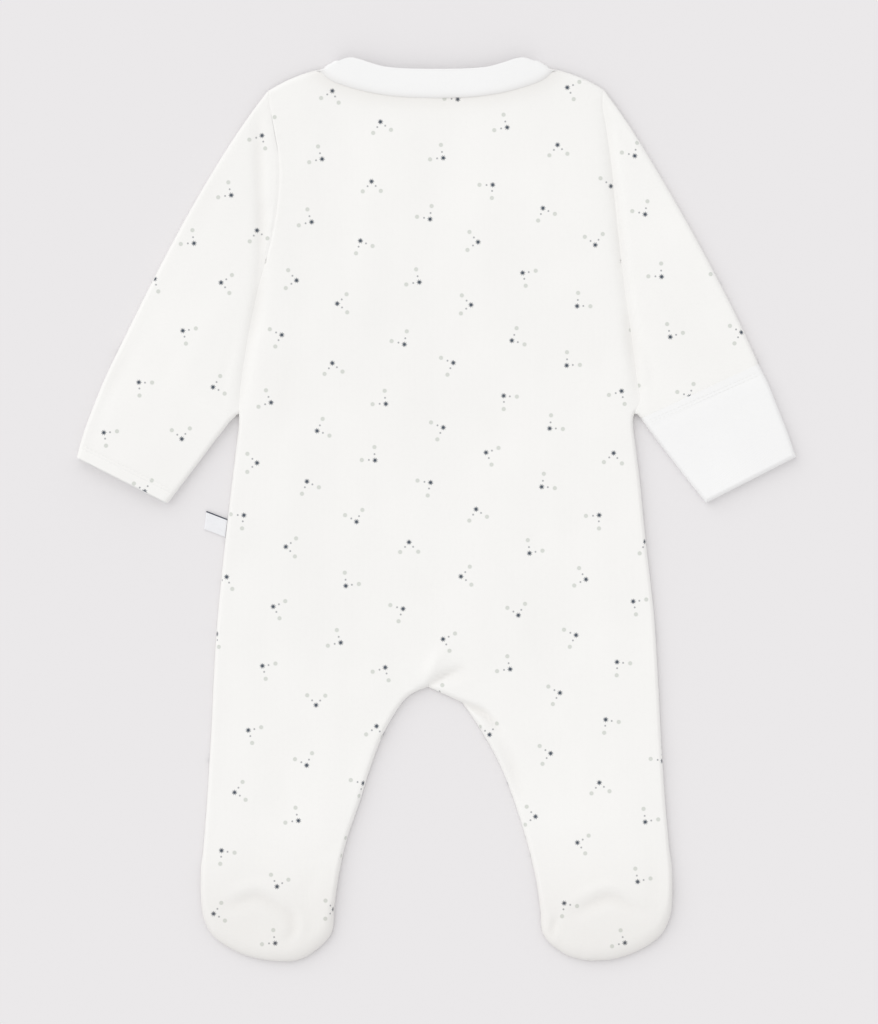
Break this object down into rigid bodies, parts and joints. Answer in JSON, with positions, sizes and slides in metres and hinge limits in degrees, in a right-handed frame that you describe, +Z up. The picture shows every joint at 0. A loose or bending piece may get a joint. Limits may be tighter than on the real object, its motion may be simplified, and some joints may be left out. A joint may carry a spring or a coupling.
{
  "type": "footed baby sleepsuit",
  "caption": "Footed baby sleepsuit laid flat with its back up, with a folded collar, long sleeves and fold-over mittens.",
  "frame": {"origin": "on the surface that the suit lies on, below the middle of its outline", "axes": "+X across the suit toward its right sleeve, +Y from the feet toward the neck, +Z up through its back"},
  "size_m": [0.4457, 0.56, 0.008],
  "materials": {
    "printed_jersey": "off-white cotton jersey with small scattered dark and pale green star-and-dot motifs",
    "white_jersey": "plain white cotton jersey",
    "woven_tape": "plain white woven tape with a thin navy edge"
  },
  "bodies": {
    "root": {"back_panel": "printed_jersey", "front_left": "printed_jersey", "front_right": "printed_jersey", "sleeve_left": "printed_jersey", "sleeve_right": "printed_jersey", "mitt_left": "white_jersey", "mitt_right": "white_jersey", "collar": "white_jersey", "side_label": "woven_tape"}
  },
  "joints": []
}
